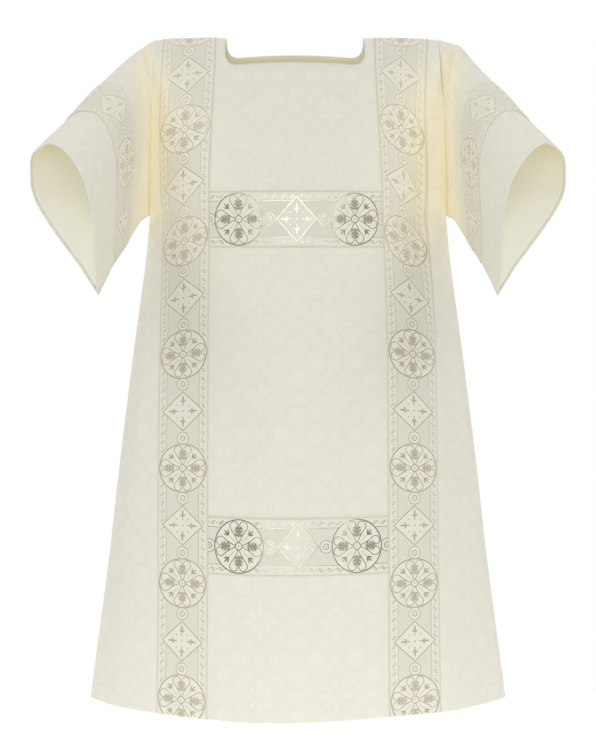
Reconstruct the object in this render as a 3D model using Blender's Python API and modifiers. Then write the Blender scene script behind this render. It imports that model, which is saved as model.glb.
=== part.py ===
"""Dalmatic: a wide-sleeved vestment of damask with galloon bands, hollow as it is worn.

The front and back panels meet at the shoulders and the side seams, and a wide sleeve is
sewn into each armhole. Galloon runs over both shoulders down to the hem, across the chest
and the skirt, and round each sleeve. The sleeves are lined and the square neck is faced.
Metres; +X is the wearer's left, -Y the front, +Z up. The origin is the middle of the
shoulder line, where the wearer's shoulders carry the cloth.
"""

import math
from collections import namedtuple

import bmesh
import bpy
from mathutils import Vector

COLLECTION = "dalmatic"

# Cloth walls and clearances
CLOTH = 0.0015           # damask panels and sleeves
TRIM = 0.0010            # galloon, sleeve lining and neck facing
GAP = 0.0003             # between neighbouring pieces
SEAM_STRIP = 0.004       # cloth beside a seam, lying square to it
CORNER_RELIEF = 0.0025   # how far a panel's underarm corner stays from the side seam

# Cut of the body
UNDERARM = 0.337         # drop from the shoulder line to the underarm
HEM = 1.249              # drop to the hem
NECK_HALF = 0.128        # half width of the square neck
NECK_CORNER = 0.025      # radius of its corners
NECK_DROP = {"front": 0.056, "back": 0.030}
NECK_RISE = 0.004        # how far the middle of the neck edge stands above its corners
FACING_DEPTH = 0.044
SHOULDER_CURVE = 1.25    # how soon the cloth turns down in front of and behind the shoulder
SHOULDER_FALL = 4.0      # how late the shoulder line drops to the armhole

# Galloon
BAND = 0.104             # its width
CROSSBANDS = {"upper": (0.295, 0.400), "lower": (0.887, 0.992)}
SLEEVE_BAND = (0.165, 0.269)   # from the armhole, along the top of the sleeve
LINING_SETBACK = 0.008         # turned-in cloth between the cuff edge and the lining
LINING_LIFT = 0.009            # how far the lining stays above the sleeve's sharp underarm

# Level sections of the body by their drop below the shoulder line. Roundness is the power
# of the section's curve: 0.5 is an ellipse, and more is leaner towards the side seams.
Section = namedtuple("Section", "drop half_width front_depth back_depth roundness")
BODY = [
    Section(0.337, 0.2805, 0.118, 0.112, 0.62),
    Section(0.420, 0.2880, 0.121, 0.113, 0.64),
    Section(0.600, 0.3120, 0.128, 0.117, 0.68),
    Section(0.800, 0.3370, 0.140, 0.124, 0.72),
    Section(1.000, 0.3600, 0.157, 0.134, 0.76),
    Section(1.249, 0.3935, 0.180, 0.150, 0.80),
]

# Inner edge of the long bands, measured along the cloth from the middle of a panel
BandPlace = namedtuple("BandPlace", "drop inner_edge")
BAND_PLACES = [
    BandPlace(0.000, 0.150),
    BandPlace(0.060, 0.150),
    BandPlace(0.350, 0.163),
    BandPlace(1.249, 0.166),
]

# Rings of the wearer's left sleeve, by their distance from the armhole along its top.
# Each ring hangs from its top point to its low point. The front and back swell stand out
# level from the line between them, at right angles to it when the turn is 0 and swung
# towards the body by the turn. A small crown is blunt at the top, a large taper is
# pointed at the underarm. The front of the third ring stands out in a soft upright fold.
Ring = namedtuple(
    "Ring",
    "along top_x top_y top_z low_x low_y low_z front_swell back_swell turn crown taper",
)
SLEEVE = [
    Ring(0.000, 0.2680, 0.000, -0.0040, 0.2805, 0.000, -0.337, 0.0600, 0.085, 0, 1.00, 0.8),
    Ring(0.030, 0.2905, -0.016, -0.0190, 0.2930, -0.026, -0.346, 0.0520, 0.082, 15, 0.97, 0.9),
    Ring(0.060, 0.3030, -0.036, -0.0330, 0.2980, -0.044, -0.356, 0.0640, 0.077, 24, 0.95, 1.0),
    Ring(0.095, 0.3178, -0.062, -0.0530, 0.3030, -0.066, -0.368, 0.0560, 0.070, 33, 0.92, 1.1),
    Ring(0.165, 0.3472, -0.115, -0.0993, 0.3105, -0.105, -0.3885, 0.0560, 0.060, 48, 0.86, 1.3),
    Ring(0.269, 0.3830, -0.190, -0.1590, 0.3270, -0.180, -0.4280, 0.0530, 0.053, 56, 0.82, 1.4),
    Ring(0.393, 0.4372, -0.275, -0.2301, 0.3440, -0.275, -0.4854, 0.0515, 0.0495, 60, 0.80, 1.5),
]

# How finely the cloth is laid out
YOKE_DROPS = {
    "front": [0.007, 0.018, NECK_DROP["front"] - NECK_CORNER, NECK_DROP["front"],
              NECK_DROP["front"] + FACING_DEPTH, 0.155, 0.220],
    "back": [0.005, 0.014, 0.022, NECK_DROP["back"],
             NECK_DROP["back"] + FACING_DEPTH, 0.140, 0.215],
}
SKIRT_DROPS = [0.490, 0.590, 0.690, 0.790, 0.887, 0.940, 0.992, 1.080, 1.165, HEM]
SLEEVE_PLACES = [0.0, SEAM_STRIP, 0.030, 0.060, 0.095, 0.130, SLEEVE_BAND[0], 0.217,
                 SLEEVE_BAND[1], 0.330, 0.393 - LINING_SETBACK, 0.393]
SLEEVE_SIDES = 20        # facets round a sleeve
ROW_SAMPLES = 80         # points used to measure along a row of cloth

# Columns of a panel, counted from its middle
NECK_COLUMN = 3
BAND_COLUMNS = (4, 5, 6)
SIDE_COLUMNS = 3

# Finishes: colour, roughness
DAMASK = ((0.745, 0.725, 0.640), 0.62)
GALLOON = ((0.700, 0.690, 0.600), 0.45)
LINING = ((0.760, 0.735, 0.600), 0.55)


def smooth_row(table, key):
    """The row of a table at any value of its first column, on a smooth curve."""
    last = len(table) - 1
    index = 0
    while index < last - 1 and table[index + 1][0] <= key:
        index += 1
    before = table[max(index - 1, 0)]
    start = table[index]
    end = table[index + 1]
    after = table[min(index + 2, last)]
    span = end[0] - start[0]
    part = (key - start[0]) / span
    values = []
    for a, b, c, d in zip(before, start, end, after):
        leave = (c - a) / (end[0] - before[0]) * span
        arrive = (d - b) / (after[0] - start[0]) * span
        values.append(
            b * (1 + 2 * part) * (1 - part) ** 2
            + leave * part * (1 - part) ** 2
            + c * part ** 2 * (3 - 2 * part)
            + arrive * part ** 2 * (part - 1)
        )
    return type(start)(*values)


def ring_point(ring, around):
    """A point of a sleeve ring: 0 is its top, -1 and 1 the underarm by back and front."""
    top = Vector((ring.top_x, ring.top_y, ring.top_z))
    low = Vector((ring.low_x, ring.low_y, ring.low_z))
    reach = abs(around)
    rise = 1 - reach ** 2
    widest = ring.crown / (ring.crown + 2 * ring.taper)
    fullest = widest ** (ring.crown / 2) * (1 - widest) ** ring.taper
    swell = reach ** ring.crown * rise ** ring.taper / fullest
    angle = math.radians(ring.turn)
    forward = Vector((-math.sin(angle), -math.cos(angle), 0))
    if around > 0:
        return low + (top - low) * rise + forward * ring.front_swell * swell
    return low + (top - low) * rise - forward * ring.back_swell * swell


def measured(points, distances):
    """Points at the given distances along a run of points."""
    found = []
    walked = 0.0
    index = 0
    for distance in distances:
        while index < len(points) - 2 and walked + (points[index + 1] - points[index]).length < distance:
            walked += (points[index + 1] - points[index]).length
            index += 1
        step = points[index + 1] - points[index]
        found.append(points[index] + step * ((distance - walked) / step.length))
    return found


def half_row(face, drop):
    """One row of a panel from its middle to its edge, on the wearer's left."""
    sign = -1 if face == "front" else 1
    depth_column = Section._fields.index(face + "_depth")
    if drop < UNDERARM:
        section = BODY[0]
        reach = math.sqrt(drop / UNDERARM)
        depth = section[depth_column] * (1 - (1 - reach) ** SHOULDER_CURVE)
        edge = ring_point(SLEEVE[0], -sign * reach)
        strip = [edge - Vector((SEAM_STRIP, 0, 0)), edge - Vector((GAP / 2, 0, 0))]
    else:
        section = smooth_row(BODY, drop)
        depth = section[depth_column]
        side = Vector((section.half_width, 0, -drop))
        strip = [side + Vector((0, sign * SEAM_STRIP, 0)), side + Vector((0, sign * GAP / 2, 0))]
        if drop == UNDERARM:
            strip = [
                side + Vector((-SEAM_STRIP, sign * SEAM_STRIP, 0)),
                side + Vector((-GAP / 2, sign * CORNER_RELIEF, 0)),
            ]

    start = strip[0]
    curve = []
    for sample in range(ROW_SAMPLES + 1):
        share = math.sin(math.pi / 2 * sample / ROW_SAMPLES)
        swell = max(0.0, 1 - share ** 2) ** section.roundness
        y = start.y + (sign * depth - start.y) * swell
        z = -drop + (start.z + drop) * share ** SHOULDER_FALL
        curve.append(Vector((start.x * share, y, z)))

    length = sum((b - a).length for a, b in zip(curve, curve[1:]))
    inner = smooth_row(BAND_PLACES, drop).inner_edge
    distances = [0, 0.4 * NECK_HALF, NECK_HALF - NECK_CORNER, NECK_HALF]
    distances += [inner, inner + BAND / 2, inner + BAND]
    side_room = length - inner - BAND
    distances += [inner + BAND + side_room * k / SIDE_COLUMNS for k in range(1, SIDE_COLUMNS)]
    return measured(curve, distances) + strip


def mirrored(half):
    """A whole row from the wearer's right edge to the left one."""
    return [Vector((-p.x, p.y, p.z)) for p in reversed(half[1:])] + [p.copy() for p in half]


def panel_drops(face):
    drops = YOKE_DROPS[face] + [CROSSBANDS["upper"][0], UNDERARM, CROSSBANDS["upper"][1]]
    return drops + SKIRT_DROPS


def panel_rows(face):
    """All rows of a panel, from the shoulder seam to the hem."""
    sign = -1 if face == "front" else 1
    seam = mirrored(half_row(face, 0.0))
    beside = [p.copy() for p in seam]
    for at_seam, by_seam in zip(seam, beside):
        at_seam.y = sign * GAP / 2
        by_seam.y = sign * SEAM_STRIP
    drops = panel_drops(face)
    rows = [seam, beside] + [mirrored(half_row(face, drop)) for drop in drops]
    middle = len(seam) // 2

    neck_row = 2 + drops.index(NECK_DROP[face])
    for row in rows[neck_row:neck_row + 1]:
        for point in row[middle - NECK_COLUMN:middle + NECK_COLUMN + 1]:
            point.z += NECK_RISE * (1 - (point.x / NECK_HALF) ** 2)
    for side in (-1, 1):
        corner = rows[neck_row][middle + side * NECK_COLUMN]
        across = rows[neck_row][middle + side * (NECK_COLUMN - 1)]
        above = rows[neck_row - 1][middle + side * NECK_COLUMN]
        corner += (across + above - 2 * corner) * (1 - math.sqrt(0.5))
    return rows, neck_row


def sleeve_rows(side):
    """Rings of a sleeve from the armhole to the cuff; the side is 1 for the wearer's left."""
    rows = []
    for place in SLEEVE_PLACES:
        if place <= SEAM_STRIP:
            ring = SLEEVE[0]
            shift = place + GAP / 2
        else:
            ring = smooth_row(SLEEVE, place)
            shift = 0.0
        turns = [2 * k / SLEEVE_SIDES - 1 for k in range(SLEEVE_SIDES)]
        points = [ring_point(ring, turn) + Vector((shift, 0, 0)) for turn in turns]
        rows.append([Vector((side * p.x, p.y, p.z)) for p in points])
    return rows


def keep_all(row, column):
    return True


def surface(name, rows, closed=False, flip=False, keep=keep_all):
    """A mesh through the rows. It keeps every point, in the order of the rows."""
    width = len(rows[0])
    faces = []
    for i in range(len(rows) - 1):
        for j in range(width if closed else width - 1):
            if not keep(i, j):
                continue
            after = (j + 1) % width
            a, b = i * width + j, (i + 1) * width + j
            c, d = (i + 1) * width + after, i * width + after
            # The diagonal turns with the side, so that a run over the shoulder lies true.
            faces += [(c, b, a), (d, c, a)] if flip else [(a, b, d), (b, c, d)]
    mesh = bpy.data.meshes.new(name)
    mesh.from_pydata([point for row in rows for point in row], [], faces)
    return mesh


def moved_out(rows, distance, closed=False, flip=False, keep=keep_all):
    """The same rows moved off their surface; a negative distance moves them inwards."""
    guide = surface("guide", rows, closed, flip, keep)
    moved = []
    for i, row in enumerate(rows):
        normals = [guide.vertices[i * len(row) + j].normal.copy() for j in range(len(row))]
        moved.append([point + normal * distance for point, normal in zip(row, normals)])
    bpy.data.meshes.remove(guide)
    return moved


def cloth(name, rows, wall, inward, finish, closed=False, flip=False, keep=keep_all):
    """A piece of cloth: the surface through the rows, given its wall by Solidify."""
    mesh = surface(name, rows, closed, flip, keep)
    shape = bmesh.new()
    shape.from_mesh(mesh)
    loose = [corner for corner in shape.verts if not corner.link_faces]
    bmesh.ops.delete(shape, geom=loose, context="VERTS")
    shape.to_mesh(mesh)
    shape.free()
    mesh.materials.append(finish)
    piece = bpy.data.objects.new(name, mesh)
    bpy.data.collections[COLLECTION].objects.link(piece)
    solidify = piece.modifiers.new("wall", "SOLIDIFY")
    solidify.thickness = wall
    solidify.offset = -1 if inward else 1
    return piece


def finish(name, look):
    colour, roughness = look
    material = bpy.data.materials.new(name)
    material.use_nodes = True
    shader = material.node_tree.nodes["Principled BSDF"]
    shader.inputs["Base Color"].default_value = (*colour, 1)
    shader.inputs["Roughness"].default_value = roughness
    shader.inputs["Metallic"].default_value = 0
    return material


def make_panel(face, damask, lining):
    """A front or back panel with its square neck, and the facing behind the neck edge."""
    rows, neck_row = panel_rows(face)
    middle = len(rows[0]) // 2
    neck = range(middle - NECK_COLUMN, middle + NECK_COLUMN)
    faced = range(middle - BAND_COLUMNS[0], middle + BAND_COLUMNS[0])
    flip = face == "back"

    def below_neck(row, column):
        return row >= neck_row or column not in neck

    def near_neck(row, column):
        return row <= neck_row and column in faced and below_neck(row, column)

    cloth(face + "_panel", rows, CLOTH, True, damask, flip=flip, keep=below_neck)
    inside = moved_out(rows, -CLOTH - GAP, flip=flip, keep=below_neck)
    cloth("neck_facing_" + face, inside, TRIM, True, lining, flip=flip, keep=near_neck)
    return rows


def make_long_bands(front, back, galloon):
    """The two bands that run from hem to hem over the shoulders."""
    middle = len(front[0]) // 2
    shoulder = [Vector((p.x, 0, p.z)) for p in front[0]]
    rows = front[:0:-1] + [shoulder] + back[1:]
    raised = moved_out(rows, GAP, flip=True)
    for name, side in (("band_left", 1), ("band_right", -1)):
        first = middle + min(side * BAND_COLUMNS[0], side * BAND_COLUMNS[-1])
        strip = [row[first:first + len(BAND_COLUMNS)] for row in raised]
        cloth(name, strip, TRIM, False, galloon, flip=True)


def make_crossbands(face, rows, galloon):
    """The two bands between the long ones, across the chest and the skirt."""
    middle = len(rows[0]) // 2
    drops = panel_drops(face)
    flip = face == "back"
    raised = moved_out(rows, GAP, flip=flip)
    for name, (top, bottom) in CROSSBANDS.items():
        span = raised[2 + drops.index(top):3 + drops.index(bottom)]
        strip = [row[middle - BAND_COLUMNS[0]:middle + BAND_COLUMNS[0] + 1] for row in span]
        for row in strip:
            for end, inner in ((0, 1), (-1, -2)):
                row[end] = row[end] + (row[inner] - row[end]).normalized() * GAP
        cloth("crossband_" + face + "_" + name, strip, TRIM, False, galloon, flip=flip)


def make_sleeve(name, side, damask, galloon, lining):
    """A sleeve, the lining inside it and the band round it."""
    rows = sleeve_rows(side)
    flip = side > 0
    cloth("sleeve_" + name, rows, CLOTH, True, damask, closed=True, flip=flip)
    inside = moved_out(rows, -CLOTH - GAP, closed=True, flip=flip)
    for ring in inside:
        ring[0] = ring[0] + (ring[SLEEVE_SIDES // 2] - ring[0]).normalized() * LINING_LIFT
    cloth("sleeve_lining_" + name, inside[2:-1], TRIM, True, lining, closed=True, flip=flip)
    first = SLEEVE_PLACES.index(SLEEVE_BAND[0])
    last = SLEEVE_PLACES.index(SLEEVE_BAND[1])
    raised = moved_out(rows, GAP, closed=True, flip=flip)[first:last + 1]
    cloth("sleeve_band_" + name, raised, TRIM, False, galloon, closed=True, flip=flip)


def build():
    for old in list(bpy.data.objects):
        bpy.data.objects.remove(old, do_unlink=True)
    bpy.context.scene.collection.children.link(bpy.data.collections.new(COLLECTION))

    damask = finish("damask", DAMASK)
    galloon = finish("galloon", GALLOON)
    lining = finish("lining", LINING)
    panels = {face: make_panel(face, damask, lining) for face in ("front", "back")}
    make_long_bands(panels["front"], panels["back"], galloon)
    for face, rows in panels.items():
        make_crossbands(face, rows, galloon)
    make_sleeve("left", 1, damask, galloon, lining)
    make_sleeve("right", -1, damask, galloon, lining)


build()
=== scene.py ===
"""A dalmatic, filled out as it is worn: its damask, galloon, lining and stitching.

Metres; +X is the wearer's left, -Y the front, +Z up. The origin is the middle of the
shoulder line. "Drop" is the distance below that line.
"""

import math
from collections import namedtuple
from functools import reduce

import bmesh
import bpy
import numpy as np
from mathutils import Matrix, Vector


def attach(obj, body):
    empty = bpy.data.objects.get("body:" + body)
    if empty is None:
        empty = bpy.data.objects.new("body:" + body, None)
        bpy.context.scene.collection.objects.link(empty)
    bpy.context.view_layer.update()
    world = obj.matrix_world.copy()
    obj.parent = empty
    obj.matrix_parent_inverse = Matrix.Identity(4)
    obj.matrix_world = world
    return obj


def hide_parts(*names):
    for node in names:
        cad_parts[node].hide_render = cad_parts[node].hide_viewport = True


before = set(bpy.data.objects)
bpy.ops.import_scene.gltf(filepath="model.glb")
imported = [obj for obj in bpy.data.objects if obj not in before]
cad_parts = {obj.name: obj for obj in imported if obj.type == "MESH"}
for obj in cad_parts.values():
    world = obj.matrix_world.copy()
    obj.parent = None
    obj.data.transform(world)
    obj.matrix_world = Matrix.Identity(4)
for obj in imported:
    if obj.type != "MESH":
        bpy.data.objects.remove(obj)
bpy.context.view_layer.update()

# -----------------------------------------------------------------------------------------
# FRONT AND BACK PANELS
# Two widths of ivory damask, seamed over the shoulders and down the sides and cut square
# at the neck. The cloth turns over the shoulders, widens evenly to the hem, and is drawn
# back into the armholes, where it lies in soft upright hollows.
# -----------------------------------------------------------------------------------------
CLOTH = 0.0015
GAP = 0.0003
UNDERARM = 0.337
HEM = 1.249
SHOULDER_CURVE = 1.25
SHOULDER_FALL = 4.0
NECK_HALF = 0.1315
NECK_CORNER = 0.025
NECK_RISE = 0.0075
NECK_DROP = {"front": 0.060, "back": 0.034}
SIGN = {"front": -1, "back": 1}
STEP = 0.006             # size of the cells that the cloth is laid out in
FRINGE = (0.0009, 0.0022, 0.0045)   # the last cells beside a cut edge
FIRST_TIE = 0.1446       # drop of the damask's first tie below the shoulder
NECK_CELLS = 21          # cells from the middle of the neck to its corner
SIDE_CELLS = 52          # cells from there to the side seam
FACING_CELLS = 4         # cells from there to the edge of the neck's facing

# On the wearer's left of the chest the arm pulls the cloth in sideways, front and back: by
# how many metres at places across, and what part of that at drops down.
PULLED_IN = [(0.145, 0.0), (0.200, 0.0115), (0.250, 0.0235), (0.262, 0.0180), (0.276, 0.0)]
PULL_BY_DROP = [(0.0, 0.35), (0.06, 0.6), (0.15, 1.0), (0.34, 0.9), (0.46, 0.3), (0.56, 0.0)]

# How far the middle of the body leans to the wearer's right, and what more on the left.
LEANING = (0.0055, 0.0050)
HEM_LIFT = 0.0045        # how much higher the front hem hangs on the wearer's left
SEAM_EASE = 0.0022       # how far a panel stands off its neighbour at a seam
RIPPLE = 0.0022          # height of the shallow waves across the skirt

Section = namedtuple("Section", "drop half_width front_depth back_depth roundness")
BODY = [
    Section(0.337, 0.2805, 0.118, 0.112, 0.62),
    Section(0.420, 0.2880, 0.121, 0.113, 0.64),
    Section(0.600, 0.3120, 0.128, 0.117, 0.68),
    Section(0.800, 0.3370, 0.140, 0.124, 0.72),
    Section(1.000, 0.3600, 0.157, 0.134, 0.76),
    Section(1.249, 0.3935, 0.180, 0.150, 0.80),
]

Ring = namedtuple(
    "Ring",
    "along top_x top_y top_z low_x low_y low_z front_swell back_swell turn crown taper",
)
SLEEVE = [
    Ring(0.000, 0.2680, 0.000, -0.0040, 0.2805, 0.000, -0.337, 0.0600, 0.085, 0, 1.00, 0.8),
    Ring(0.030, 0.2905, -0.016, -0.0190, 0.2930, -0.026, -0.346, 0.0520, 0.082, 15, 0.97, 0.9),
    Ring(0.060, 0.3030, -0.036, -0.0330, 0.2980, -0.044, -0.356, 0.0640, 0.077, 24, 0.95, 1.0),
    Ring(0.095, 0.3178, -0.062, -0.0530, 0.3030, -0.066, -0.368, 0.0560, 0.070, 33, 0.92, 1.1),
    Ring(0.165, 0.3472, -0.115, -0.0993, 0.3105, -0.105, -0.3885, 0.0560, 0.060, 48, 0.86, 1.3),
    Ring(0.269, 0.3830, -0.190, -0.1590, 0.3270, -0.180, -0.4280, 0.0550, 0.054, 56, 0.90, 1.4),
    Ring(0.393, 0.4275, -0.275, -0.2225, 0.3440, -0.275, -0.4854, 0.0480, 0.0730, 60, 1.30, 1.5),
]

# Soft folds of the body, each from a start to an end, measured across from the middle
# (the wearer's left is positive) and down from the shoulder. A hollow has a negative rise.
Fold = namedtuple("Fold", "face start_across start_drop end_across end_drop width rise")
BODY_FOLDS = [
    Fold("front", -0.262, 0.115, -0.254, 0.240, 0.024, -0.0015),
    Fold("front", -0.236, 0.120, -0.222, 0.300, 0.026, 0.0022),
    Fold("front", 0.266, 0.085, 0.262, 0.300, 0.028, -0.0012),
    Fold("front", 0.235, 0.060, 0.228, 0.270, 0.030, 0.0016),
    Fold("front", -0.300, 0.560, -0.372, 1.249, 0.040, 0.0045),
    Fold("front", -0.205, 0.700, -0.262, 1.249, 0.050, -0.0035),
    Fold("front", -0.060, 0.820, -0.085, 1.249, 0.055, 0.0030),
    Fold("front", 0.075, 0.900, 0.105, 1.249, 0.060, -0.0030),
    Fold("front", 0.215, 0.760, 0.270, 1.249, 0.050, 0.0030),
    Fold("front", 0.305, 0.620, 0.360, 1.249, 0.045, -0.0040),
    Fold("back", -0.255, 0.100, -0.248, 0.290, 0.024, -0.0040),
    Fold("back", -0.200, 0.420, -0.250, 1.249, 0.050, 0.0050),
    Fold("back", -0.085, 0.520, -0.120, 1.249, 0.055, -0.0045),
    Fold("back", 0.030, 0.640, 0.045, 1.249, 0.055, 0.0050),
    Fold("back", 0.150, 0.480, 0.195, 1.249, 0.050, -0.0045),
    Fold("back", 0.260, 0.560, 0.325, 1.249, 0.045, 0.0045),
    Fold("back", 0.258, 0.095, 0.250, 0.300, 0.022, -0.0035),
]


def blended(table, key):
    """The row of a table at any value of its first column, on a smooth curve."""
    last = len(table) - 1
    index = 0
    while index < last - 1 and table[index + 1][0] <= key:
        index += 1
    before = np.array(table[max(index - 1, 0)])
    start = np.array(table[index])
    end = np.array(table[index + 1])
    after = np.array(table[min(index + 2, last)])
    span = end[0] - start[0]
    part = (key - start[0]) / span
    leave = (end - before) / (end[0] - before[0]) * span
    arrive = (after - start) / (after[0] - start[0]) * span
    values = (
        start * (1 + 2 * part) * (1 - part) ** 2
        + leave * part * (1 - part) ** 2
        + end * part ** 2 * (3 - 2 * part)
        + arrive * part ** 2 * (part - 1)
    )
    return type(table[0])(*values)


def ring_points(ring, around):
    """Points of a sleeve ring: 0 is its top, -1 and 1 the underarm by back and front."""
    around = np.atleast_1d(around)
    top = np.array([ring.top_x, ring.top_y, ring.top_z])
    low = np.array([ring.low_x, ring.low_y, ring.low_z])
    reach = np.abs(around)
    rise = 1 - reach ** 2
    widest = ring.crown / (ring.crown + 2 * ring.taper)
    fullest = widest ** (ring.crown / 2) * (1 - widest) ** ring.taper
    swell = reach ** ring.crown * np.maximum(rise, 0) ** ring.taper / fullest
    pinch = 0.9 ** ring.crown * 0.19 ** ring.taper / fullest * rise / 0.19
    swell = np.where(reach > 0.9, np.maximum(swell, pinch), swell)
    angle = math.radians(ring.turn)
    forward = np.array([-math.sin(angle), -math.cos(angle), 0])
    full = np.where(around > 0, ring.front_swell, -ring.back_swell) * swell
    return low + (top - low) * rise[:, None] + forward * full[:, None]


def middle_path(face, drop):
    """How far forward of the shoulder line the middle of a panel hangs at a drop."""
    depth = getattr(BODY[0], face + "_depth")
    if drop >= UNDERARM:
        return getattr(blended(BODY, drop), face + "_depth")
    return depth * (1 - (1 - math.sqrt(drop / UNDERARM)) ** SHOULDER_CURVE)


def stations(stops, step):
    """Places from the first stop to the last, through all of them and even between them."""
    places = []
    for start, end in zip(stops, stops[1:]):
        count = max(1, round((end - start) / step))
        places += list(np.linspace(start, end, count + 1))[:-1]
    return np.array(places + [stops[-1]])


def lengths_along(points):
    """How far each point of a line is from the line's start, along the line."""
    return np.append(0, np.cumsum(np.linalg.norm(np.diff(points, axis=0), axis=1)))


def unit(vectors):
    return vectors / np.linalg.norm(vectors, axis=2, keepdims=True)


def row_drops(face, marks, near_start=FRINGE, near_end=FRINGE):
    """Drops of rows evenly spaced along the cloth, through the marks and close at the ends."""
    fine = np.append(UNDERARM * np.linspace(0, 1, 500) ** 2, np.linspace(UNDERARM, HEM, 900)[1:])
    ahead = np.array([middle_path(face, drop) for drop in fine])
    walked = np.append(0, np.cumsum(np.hypot(np.diff(fine), np.diff(ahead))))
    ends = np.interp([marks[0], marks[-1]], fine, walked)
    near = [ends[0] + f for f in near_start] + [ends[1] - f for f in near_end]
    stops = sorted(list(np.interp(marks, fine, walked)) + near)
    return np.interp(stations(stops, STEP), walked, fine)


def level_curve(face, drop, samples=420):
    """Half a level row of a panel, from its middle to its seam, and the distances along it."""
    sign = SIGN[face]
    if drop < UNDERARM:
        section = BODY[0]
        reach = math.sqrt(drop / UNDERARM)
        depth = middle_path(face, drop)
        edge = ring_points(SLEEVE[0], -sign * reach)[0] - [GAP / 2, 0, 0]
        edge[1] += sign * SEAM_EASE * reach ** 12
    else:
        section = blended(BODY, drop)
        depth = getattr(section, face + "_depth")
        ease = SEAM_EASE * math.exp(-(drop - UNDERARM) / 0.01)
        edge = np.array([section.half_width, sign * (GAP / 2 + ease), -drop])
    share = np.sin(np.linspace(0, math.pi / 2, samples))
    swell = np.maximum(0, 1 - share ** 2) ** section.roundness
    points = np.stack([
        edge[0] * share,
        edge[1] + (sign * depth - edge[1]) * swell,
        -drop + (edge[2] + drop) * share ** SHOULDER_FALL,
    ], axis=1)
    return points, lengths_along(points)


def surface_at(face, drop, across):
    """Points of the undisturbed panel at distances across it, on either side of the middle."""
    points, walked = level_curve(face, drop)
    found = np.stack([np.interp(np.abs(across), walked, points[:, k]) for k in range(3)], axis=1)
    found[:, 0] *= np.sign(across) + (across == 0)
    return found


def half_length(face, drop):
    return level_curve(face, drop)[1][-1]


def grid_normals(points, towards, closed=False):
    """Unit normals of a grid of points, on the side that faces the given directions."""
    rows = np.concatenate([points[:, -1:], points, points[:, :1]], axis=1) if closed else points
    down = np.gradient(rows, axis=0)
    along = np.gradient(rows, axis=1)
    normals = np.cross(down, along)
    normals /= np.maximum(np.linalg.norm(normals, axis=2, keepdims=True), 1e-12)
    normals = normals[:, 1:-1] if closed else normals
    return normals * np.sign(np.sum(normals * towards))


def fold_rise(folds, across, drop):
    """How far soft folds raise the cloth at places given across and down."""
    rise = np.zeros_like(across)
    for fold in folds:
        start = np.array([fold.start_across, fold.start_drop])
        run = np.array([fold.end_across, fold.end_drop]) - start
        length = np.hypot(*run)
        along = ((across - start[0]) * run[0] + (drop - start[1]) * run[1]) / length ** 2
        aside = ((across - start[0]) * run[1] - (drop - start[1]) * run[0]) / length
        overshoot = np.maximum(0, np.maximum(-along, along - 1)) * length
        end_fade = np.exp(-(overshoot / (1.6 * fold.width)) ** 2)
        swing = 1 + 0.25 * np.sin(9 * along * length + 40 * fold.start_across)
        spread = fold.width * (0.55 + 0.45 * np.clip(along, 0, 1) * swing)
        rise += fold.rise * swing * np.exp(-(aside / spread) ** 2) * end_fade
    return rise


def spread(values, grid):
    """One value for each row, given to every place of a grid of the same number of rows."""
    return np.broadcast_to(np.reshape(values, (-1, 1)), grid.shape[:2]).copy()


def edge_distance(face, drops, across):
    """How far places of a panel are from its side seam, along the cloth."""
    halves = np.array([half_length(face, drop) for drop in drops])
    return halves[:, None] - np.abs(across)


def body_shape(face, drops, across):
    """The hanging cloth at a grid of places: its points and outward normals."""
    sign = SIGN[face]
    outwards = np.array([0, sign, 0])
    rows = np.stack([surface_at(face, drop, row) for drop, row in zip(drops, across)])
    rows[..., 1] += sign * GAP / 2
    normals = grid_normals(rows, outwards)
    down = spread(drops, across)
    rise = fold_rise([fold for fold in BODY_FOLDS if fold.face == face], across, down)
    rise += np.clip((down - 0.45) / 0.8, 0, 1) ** 1.5 * RIPPLE * np.sin(across * 31 + 2.1 * sign)
    edge = edge_distance(face, drops, across)
    rise *= np.clip(down / 0.06, 0, 1) * (1 - np.exp(-(edge / 0.02) ** 2))
    rows = rows + normals * rise[..., None]
    # The garment sits a little to the wearer's right, and its hem hangs lower on that side.
    free = np.clip(1 - (rows[..., 0] / 0.262) ** 2, 0, 1)
    leaning = LEANING[0] + LEANING[1] * np.clip(rows[..., 0] / 0.15, 0, 1)
    rows[..., 0] -= leaning * free * np.exp(-(down / 0.36) ** 2)
    rows[..., 0] -= np.interp(across, *zip(*PULLED_IN)) * np.interp(down, *zip(*PULL_BY_DROP))
    low = np.clip((down - 0.6) / 0.65, 0, 1) ** 2
    if face == "front":
        rows[..., 2] += HEM_LIFT * low * np.exp(-((rows[..., 0] - 0.17) / 0.12) ** 2)
    return rows, grid_normals(rows, outwards)


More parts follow.
